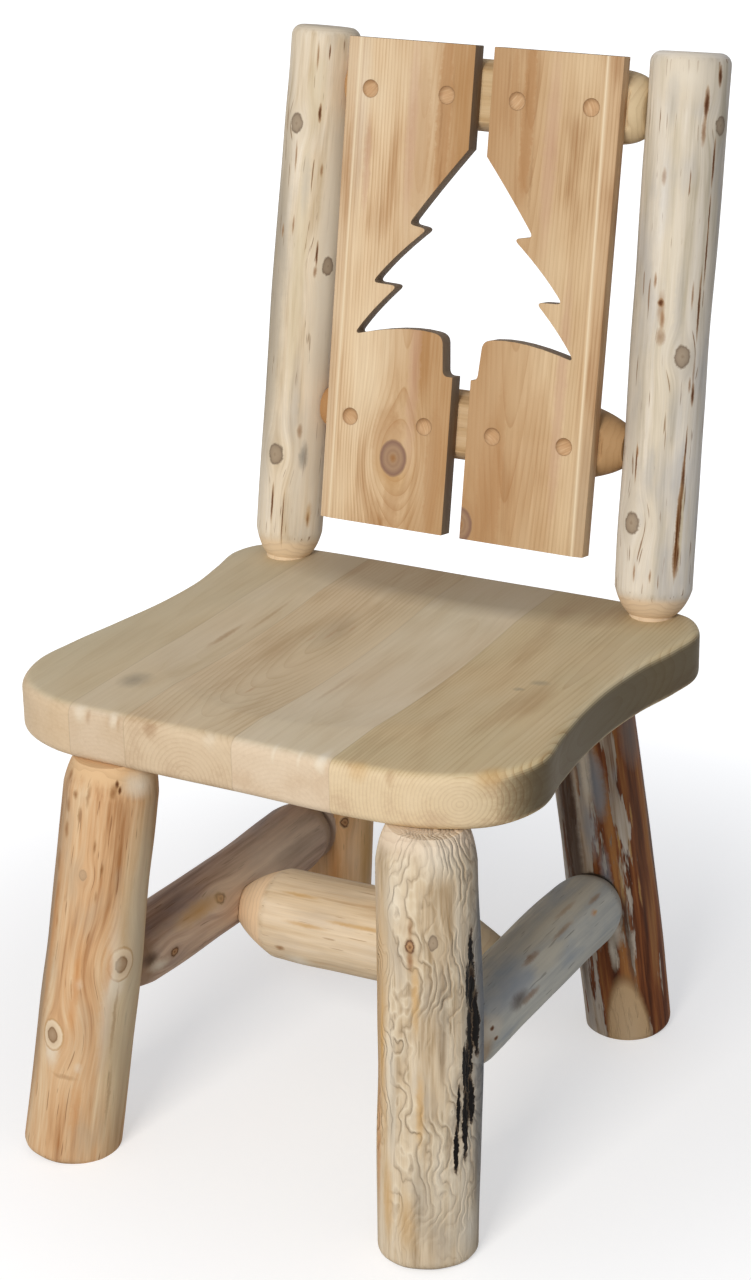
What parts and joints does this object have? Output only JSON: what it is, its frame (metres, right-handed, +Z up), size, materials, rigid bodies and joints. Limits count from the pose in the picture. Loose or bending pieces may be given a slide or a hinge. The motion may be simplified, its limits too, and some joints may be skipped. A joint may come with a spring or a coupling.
{
  "type": "log chair",
  "caption": "Rustic log side chair: splayed peeled-log legs with H stretchers, shaped and dished plank seat, log back posts, and two plugged board slats with a pine tree cut-out.",
  "frame": {"origin": "on the floor, under the middle of the whole chair's bounding box", "axes": "+Z up, -Y towards the front of the seat, +X towards a sitter's left"},
  "size_m": [0.5376, 0.641, 0.9803],
  "materials": {
    "peeled_log": "peeled log, sanded and clear coated, satin",
    "tan_log": "peeled log, darker tan, satin",
    "bark_log": "partly barked log, satin over brown inner bark",
    "grey_log": "weathered grey log, satin",
    "seat_pine": "edge-glued softwood planks, sanded, satin",
    "cedar": "planed cedar board, satin",
    "plug_wood": "turned button plug, satin",
    "screw_steel": "zinc-plated wood screw"
  },
  "bodies": {
    "root": {"leg_front_left": "tan_log", "leg_front_right": "peeled_log", "leg_back_left": "tan_log", "leg_back_right": "bark_log", "stretcher_left": "bark_log", "stretcher_right": "grey_log", "stretcher_cross": "peeled_log", "post_left": "peeled_log", "post_right": "peeled_log", "seat_board_1": "seat_pine", "seat_board_2": "seat_pine", "seat_board_3": "seat_pine", "seat_board_4": "seat_pine", "seat_board_5": "seat_pine", "rail_top": "peeled_log", "rail_bottom": "peeled_log", "slat_left": "cedar", "plug_left_1": "plug_wood", "screw_left_1": "screw_steel", "plug_left_2": "plug_wood", "screw_left_2": "screw_steel", "plug_left_3": "plug_wood", "screw_left_3": "screw_steel", "plug_left_4": "plug_wood", "screw_left_4": "screw_steel", "slat_right": "cedar", "plug_right_1": "plug_wood", "screw_right_1": "screw_steel", "plug_right_2": "plug_wood", "screw_right_2": "screw_steel", "plug_right_3": "plug_wood", "screw_right_3": "screw_steel", "plug_right_4": "plug_wood", "screw_right_4": "screw_steel"}
  },
  "joints": []
}
